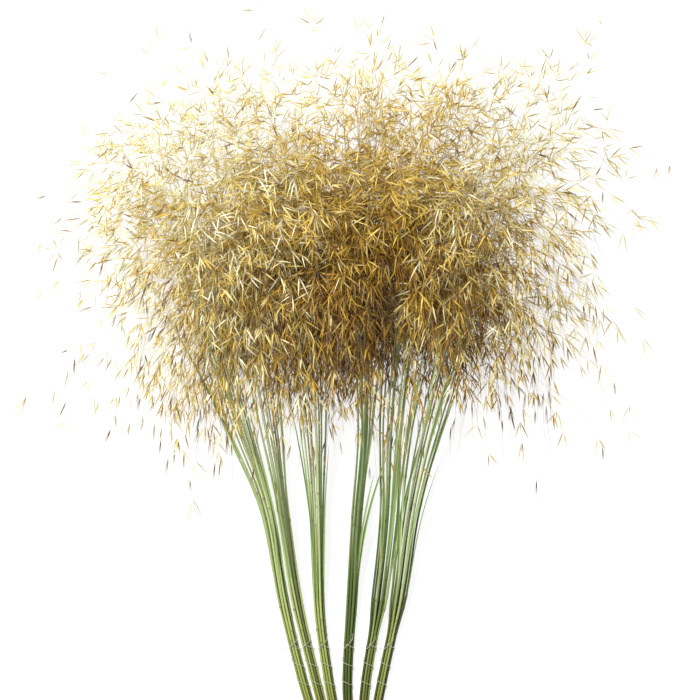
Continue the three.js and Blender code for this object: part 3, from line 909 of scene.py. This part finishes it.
def grow_head(stem):
    """A head's rachis and its other stalks as lines, and its spikelets as places and directions"""
    neck = stem.tip - NECK
    draw = stem.draw
    rows = [between([stem.foot, neck], i / RACHIS_STEPS) for i in range(RACHIS_STEPS + 1)]
    rachis = ([stem.at(y) for y in rows], {
        "girth": [smooth(RACHIS_GIRTHS, y) * MM for y in rows],
        "ripeness": [stem.ripeness] * len(rows),
        "rise": [between(RACHIS_RISE, i / RACHIS_STEPS) for i in range(RACHIS_STEPS + 1)]})
    stalks = []
    heading = stem.along(neck)
    spikelets = [(stem.at(neck), heading, rolled_side(heading, pi * draw()),
                  radians(between(GLUME_OPENING, draw())), NECK, stem.ripeness, False)]
    n = 0
    for whorl, count in enumerate(WHORLS):
        for _ in range(count):
            branch = main_branch(stem, whorl, n)
            n += 1
            draw = branch["draw"]
            ripeness = stem.ripeness + BRANCH_SHADES * (draw() - 0.5)
            stalks.append(tapered(branch["points"], BRANCH_GIRTHS, ripeness))
            spikelets.append((*branch["spikelet"], ripeness, False))
            grow_twigs(branch, ripeness, stalks, spikelets)
    return rachis, stalks, spikelets


def grow_twigs(branch, ripeness, stalks, spikelets):
    """Twigs all round a branch, each with up to two short stalks: every end has a spikelet."""
    draw = branch["draw"]
    count = 1 + round(branch["length"] / TWIG_SPACING)
    turn = 2 * pi * draw()
    for j in range(count):
        share = between(TWIG_PLACES, (j + draw()) / count)
        start, along = point_on(branch["points"], share)
        turn += GOLDEN_TURN + TWIG_TURN_SCATTER * (draw() - 0.5)
        ahead = turned_off(along, turn, radians(between(TWIG_ANGLE, draw())))
        length = between(TWIG_LENGTH, draw() ** TWIG_SHORTNESS)
        length *= smooth(FRINGE_LENGTHENING, start.y)
        length *= LONG_TWIG if draw() < smooth(LONG_TWIG_SHARE, abs(start.x)) else 1
        points = twig_line(start, ahead, length, TWIG_STEPS)
        shade = ripeness + TWIG_SHADES * (draw() - 0.5)
        if not add_twig(points, shade, draw, stalks, spikelets):
            continue
        for places in PEDICEL_PLACES:
            if draw() < PEDICEL_SHARE:
                start, along = point_on(points, between(places, draw()))
                ahead = turned_off(along, 2 * pi * draw(), radians(between(TWIG_ANGLE, draw())))
                length = between(PEDICEL_LENGTH, draw() ** PEDICEL_SHORTNESS)
                add_twig(twig_line(start, ahead, length, 1), shade, draw, stalks, spikelets)


def add_twig(points, shade, draw, stalks, spikelets):
    """Adds a twig and its spikelet, if the place keeps them and they stay in the bundle's box"""
    end = points[-1]
    ahead = (end - points[-2]).normalized()
    heading = ahead + any_direction(draw) * HEADING_SCATTER + hanging(end.y) * HEADING_SAG
    heading.z *= HEAD_FLATTENING
    heading.normalize()
    side = rolled_side(heading, TWIG_ROLL * (2 * draw() - 1))
    closed = draw() < smooth(CLOSED_SHARE, end.y)
    opening = radians(between(CLOSED_ANGLE if closed else OPEN_ANGLE, draw()))
    glume = between(TWIG_GLUME_LENGTH, draw()) * (CLOSED_LENGTH if closed else 1)
    fits = draw() < fullness(end) and fits_in_bundle(end + heading * glume)
    if fits:
        heading, side = settled(end, heading, side, opening, glume)
        stalks.append(tapered(points, TWIG_GIRTHS, shade + TWIG_DARKER))
        spikelets.append((end, heading, side, opening, glume, shade, closed))
    return fits


def make_stalk_finish():
    """Thin dry stalk, straw to brown, but greenish on the rachis, whose rise runs from -1 to 0"""
    material, tree = start_material("straw stalk")
    grain, normal = streaks(tree, fineness=1500.0, length=40.0, relief=0.2)
    # The ripeness value also holds painted light, paler round the outside of the heads.
    dry = colour_ramp(tree, value_of(tree, "ripeness"), [
        (0.0, (222, 206, 130)), (0.35, (202, 170, 78)), (0.6, (148, 104, 40)),
        (1.0, (94, 60, 38))])
    green = mixed_colour(tree, grain, paint(122, 142, 70), paint(176, 184, 112))
    rise = value_of(tree, "rise")
    depth = graded(tree, rise, ends=(-0.9, -0.05), results=(1.0, 0.3))
    is_rachis = maths(tree, "LESS_THAN", rise, RACHIS_END)
    greenness = maths(tree, "MULTIPLY", depth, is_rachis)
    colour = mixed_colour(tree, greenness, dry, green)
    return finished(material, {
        "Base Color": colour, "Roughness": 0.5, "Normal": normal, "Specular IOR Level": 0.25})


heads = {}
stalk_finish = make_stalk_finish()
for name, bunch in stems.items():
    rachises, stalks, spikelets = [], [], []
    for stem in bunch:
        rachis, lines, ends = grow_head(stem)
        rachises.append(rachis)
        stalks.extend(lines)
        spikelets.extend(ends)
    heads[name] = spikelets
    axes = grow(f"rachises_{name}", mesh_of_lines("rachis lines", rachises), SWEEP,
                Sides=RACHIS_SIDES, Finish=stalk_finish)
    twigs = grow(f"branches_{name}", mesh_of_lines("branch lines", stalks), SWEEP,
                 Sides=THIN_SIDES, Finish=stalk_finish)
    for piece in (axes, twigs):
        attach(piece, "root")
        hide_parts(*stem_nodes(name))

# Spikelets
# Each is a pair of long papery glumes, folded along a keel and pointed, at the end of a stalk.
# Most are straw-gold and stand open in a V, some with the short brown floret still between them.
# The unripe ones are closed, slim and purple-brown.
GLUME_SEED = 9000
GLUME_WIDTH = [2.6, 3.9]
CLOSED_WIDTH = [1.6, 2.3]
GLUME_FOLD = 0.6
GLUME_THICKNESS = 0.12
GLUME_SHOULDER = 0.66
GLUME_BOW = 0.02
GLUME_SHADES = 0.34
TIP_CLEARANCE = 0.5
# Painted shade: spikelets low in the heap, close to the floor, are painted riper and darker, where
# the layers above shade them.
PAINTED_SHADE_BY_HEIGHT = [[30, 0.3], [150, 0.16], [260, 0.04], [340, 0.02]]
RIPEST = 0.8
UNRIPE = 0.78
UNRIPE_SHADES = 0.25
# Closed spikelets take this share of the painted light round the outside of the heads.
CLOSED_PAINTED_LIGHT = 0.35
VEIN_WAVE = 22.0
FLORET_SHARE = 0.3
FLORET_LENGTH = 0.5
FLORET_WIDTH = 1.4


def legs_of(heading, side, opening, length):
    """The two legs of a spikelet, and the way in which each one's keel faces"""
    for hand in (1, -1):
        leg = (heading * cos(opening) + side * hand * sin(opening)) * length
        keel = side * hand * cos(opening) - heading * sin(opening)
        yield leg, keel


def glume_tree():
    """One folded blade for each point, from its place along its leg, keel towards its side"""
    tree, inputs = start_tree("glumes", {
        "Fold": GLUME_FOLD, "Thickness": GLUME_THICKNESS, "Shoulder": GLUME_SHOULDER,
        "Bow": GLUME_BOW})
    line = put(tree, "GeometryNodeCurvePrimitiveLine", {"Start": (0, 0, 0), "End": (0, 0, 1)},
               mode="POINTS")
    steps = put(tree, "GeometryNodeResampleCurve", {"Curve": line, "Count": 4}, mode="COUNT")
    along = put(tree, "GeometryNodeSplineParameter").outputs
    rise = maths(tree, "SINE", maths(tree, "MULTIPLY", along["Factor"], pi))
    aside = put(tree, "ShaderNodeCombineXYZ", {"X": maths(tree, "MULTIPLY", rise, inputs["Bow"])})
    bowed = put(tree, "GeometryNodeSetPosition", {"Geometry": steps, "Offset": aside})
    kept = put(tree, "GeometryNodeStoreNamedAttribute", {
        "Geometry": bowed, "Name": "along", "Value": along["Factor"]}, data_type="FLOAT")
    width = put(tree, "GeometryNodeIndexSwitch", data_type="FLOAT")
    width.index_switch_items.new()
    width.index_switch_items.new()
    tree.links.new(along["Index"], width.inputs["Index"])
    tree.links.new(inputs["Shoulder"], width.inputs["2"])
    for key, value in [("0", 0.0), ("1", 1.0), ("3", 0.0)]:
        width.inputs[key].default_value = value
    blade = put(tree, "GeometryNodeCurveToMesh", {
        "Curve": kept, "Scale": width,
        "Profile Curve": folded_section(tree, inputs["Fold"], inputs["Thickness"])})
    closed = put(tree, "GeometryNodeMergeByDistance", {"Geometry": blade, "Distance": 0.0005})
    turned = put(tree, "FunctionNodeAxesToRotation", {
        "Primary Axis": attribute(tree, "leg", "FLOAT_VECTOR"),
        "Secondary Axis": attribute(tree, "keel", "FLOAT_VECTOR")},
        primary_axis="Z", secondary_axis="X")
    size = put(tree, "ShaderNodeCombineXYZ", {
        "X": attribute(tree, "width"), "Y": attribute(tree, "width"),
        "Z": attribute(tree, "length")})
    blades = put(tree, "GeometryNodeInstanceOnPoints", {
        "Points": inputs["Geometry"], "Instance": closed, "Rotation": turned, "Scale": size})
    return end_tree(tree, blades, inputs["Finish"], rounded=False)


def mesh_of_glumes(name, spikelets):
    """A point for each glume and floret, with its leg, keel, length, width and ripeness"""
    draw = draw_from(SEED + GLUME_SEED)
    places = []
    values = {key: [] for key in ("leg", "keel", "length", "width", "ripeness")}
    for fork, heading, side, opening, glume, ripeness, closed in spikelets:
        # Painted shade darkens spikelets low in the heap; painted light pales those round the
        # outside of the heads.
        ripeness = painted_paler(min(ripeness + smooth(PAINTED_SHADE_BY_HEIGHT, fork.z), RIPEST), fork)
        if closed:
            ripeness = painted_paler(UNRIPE + UNRIPE_SHADES * draw(), fork, CLOSED_PAINTED_LIGHT)
        blades = [(leg, keel, between(CLOSED_WIDTH if closed else GLUME_WIDTH, draw()),
                   ripeness + GLUME_SHADES * (draw() - 0.5))
                  for leg, keel in legs_of(heading, side, opening, glume)]
        if not closed and draw() < FLORET_SHARE:
            blades.append((heading * glume * FLORET_LENGTH, side, FLORET_WIDTH, UNRIPE))
        for leg, keel, width, shade in blades:
            leg.z = max(leg.z, TIP_CLEARANCE - fork.z)
            places.append((fork - MIDDLE) * MM)
            values["leg"].extend(leg.normalized())
            values["keel"].extend(keel)
            values["length"].append(leg.length * MM)
            values["width"].append(width * MM)
            values["ripeness"].append(shade)
    return mesh_with(name, places, [], values)


def make_glume_finish():
    """Papery straw that lets light through, with fine veins, pale edges and a brown base"""
    material, tree = start_material("papery glume")
    # The ripeness value also holds painted shade, darker low in the heap, and painted light, paler
    # round the outside of the heads.
    ripe = colour_ramp(tree, value_of(tree, "ripeness"), [
        (0.0, (246, 250, 236)), (0.12, (240, 241, 206)), (0.34, (234, 212, 108)),
        (0.54, (208, 168, 48)), (0.74, (140, 92, 16)), (0.88, (98, 54, 14)),
        (1.0, (98, 70, 50))])
    margin = value_of(tree, "margin")
    ridges = maths(tree, "SINE", maths(tree, "MULTIPLY", margin, VEIN_WAVE))
    vein = graded(tree, ridges, ends=(-1.0, 1.0), results=(0.0, 0.22))
    veined = mixed_colour(tree, vein, ripe, paint(188, 142, 50))
    edge = graded(tree, margin, ends=(0.7, 1.0), results=(0.0, 0.42))
    edged = mixed_colour(tree, edge, veined, paint(248, 236, 170))
    base = graded(tree, value_of(tree, "along"), ends=(0.0, 0.22), results=(0.35, 0.0))
    colour = mixed_colour(tree, base, edged, paint(154, 110, 58))
    shader = put(tree, "ShaderNodeBsdfPrincipled", {
        "Base Color": colour, "Roughness": 0.5, "Specular IOR Level": 0.2})
    golden = mixed_colour(tree, 0.5, colour, paint(252, 240, 156), "MULTIPLY")
    glow = put(tree, "ShaderNodeBsdfTranslucent", {"Color": golden})
    both = put(tree, "ShaderNodeMixShader", {"Fac": 0.32, 1: shader, 2: glow})
    put(tree, "ShaderNodeOutputMaterial", {"Surface": both})
    return material


GLUMES = glume_tree()
glume_finish = make_glume_finish()
for name, spikelets in heads.items():
    glumes = grow(f"spikelets_{name}", mesh_of_glumes("glume points", spikelets), GLUMES,
                  Finish=glume_finish)
    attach(glumes, "root")
    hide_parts(*stem_nodes(name))

# Awns
# A stiff hair stands far out of most closed spikelets and of a few open ones. It bends over
# towards the cut ends and shows as a faint line against the light.
AWN_SEED = 7000
AWN_LENGTH = [55, 105]
AWN_GIRTHS = [0.32, 0.18]
AWN_STEPS = 3
AWN_SAG = 0.9
AWN_DRIFT = 0.35
AWNED_CLOSED = 0.6
AWNED_OPEN = 0.05


def awn_line(fork, heading, draw):
    """A hair that starts between the glumes and bends over, or no hair where it has no room"""
    length = between(AWN_LENGTH, draw())
    drift = any_direction(draw) * AWN_DRIFT
    ahead = heading
    points = [fork]
    for _ in range(AWN_STEPS):
        bend = drift + hanging(points[-1].y) * AWN_SAG
        ahead = (ahead + bend / AWN_STEPS).normalized()
        point = points[-1] + ahead * (length / AWN_STEPS)
        points.append(Vector((point.x, point.y, max(point.z, TIP_CLEARANCE))))
    return points if fits_in_bundle(points[-1]) else None


def make_awn_finish():
    """A stiff hair, brown where it leaves the glumes and paler towards its tip"""
    material, tree = start_material("awn")
    colour = colour_ramp(tree, value_of(tree, "rise"), [
        (0.0, (108, 84, 72)), (0.35, (136, 114, 94)), (1.0, (160, 144, 122))])
    return finished(material, {"Base Color": colour, "Roughness": 0.4})


awn_finish = make_awn_finish()
for name, spikelets in heads.items():
    draw = draw_from(SEED + AWN_SEED)
    hairs = []
    for fork, heading, _, _, _, ripeness, closed in spikelets:
        points = awn_line(fork, heading, draw)
        if draw() < (AWNED_CLOSED if closed else AWNED_OPEN) and points:
            hairs.append(tapered(points, AWN_GIRTHS, ripeness))
    awns = grow(f"awns_{name}", mesh_of_lines("awn lines", hairs), SWEEP,
                Sides=THIN_SIDES, Finish=awn_finish)
    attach(awns, "root")
    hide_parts(*stem_nodes(name))

# Floor and light
# A plain floor that glows white, as a light table does, under soft light from above and from
# one lamp at the upper left.
FLOOR_REACH = 20
FLOOR_GLOW = 0.86
FLOOR_DROP = 0.0003
SKY_STRENGTH = 0.44
LAMP_PLACE = Vector((-1.5, 1.6, 2.8))
LAMP_AIM = Vector((0, 0.2, 0.1))
LAMP_SIZE = 1.0
LAMP_POWER = 184
floor_mesh = bpy.data.meshes.new("floor")
corners = [(-1, -1), (1, -1), (1, 1), (-1, 1)]
floor_mesh.from_pydata([(x * FLOOR_REACH, y * FLOOR_REACH, -FLOOR_DROP) for x, y in corners], [],
                       [(0, 1, 2, 3)])
floor = add_object("floor", floor_mesh)
floor_finish, _ = start_material("white floor")
floor_mesh.materials.append(finished(floor_finish, {
    "Base Color": paint(126, 126, 126), "Roughness": 0.9,
    "Emission Color": paint(255, 255, 255), "Emission Strength": FLOOR_GLOW}))

world = bpy.data.worlds.new("studio")
world.use_nodes = True
sky = world.node_tree.nodes["Background"].inputs
sky["Color"].default_value = (1, 1, 1, 1)
sky["Strength"].default_value = SKY_STRENGTH
bpy.context.scene.world = world

lamp = bpy.data.lights.new("key light", "AREA")
lamp.size = LAMP_SIZE
lamp.energy = LAMP_POWER
light = add_object("key light", lamp)
light.location = LAMP_PLACE
light.rotation_euler = (LAMP_AIM - LAMP_PLACE).to_track_quat("-Z", "Y").to_euler()
bpy.context.scene.view_settings.view_transform = "Standard"
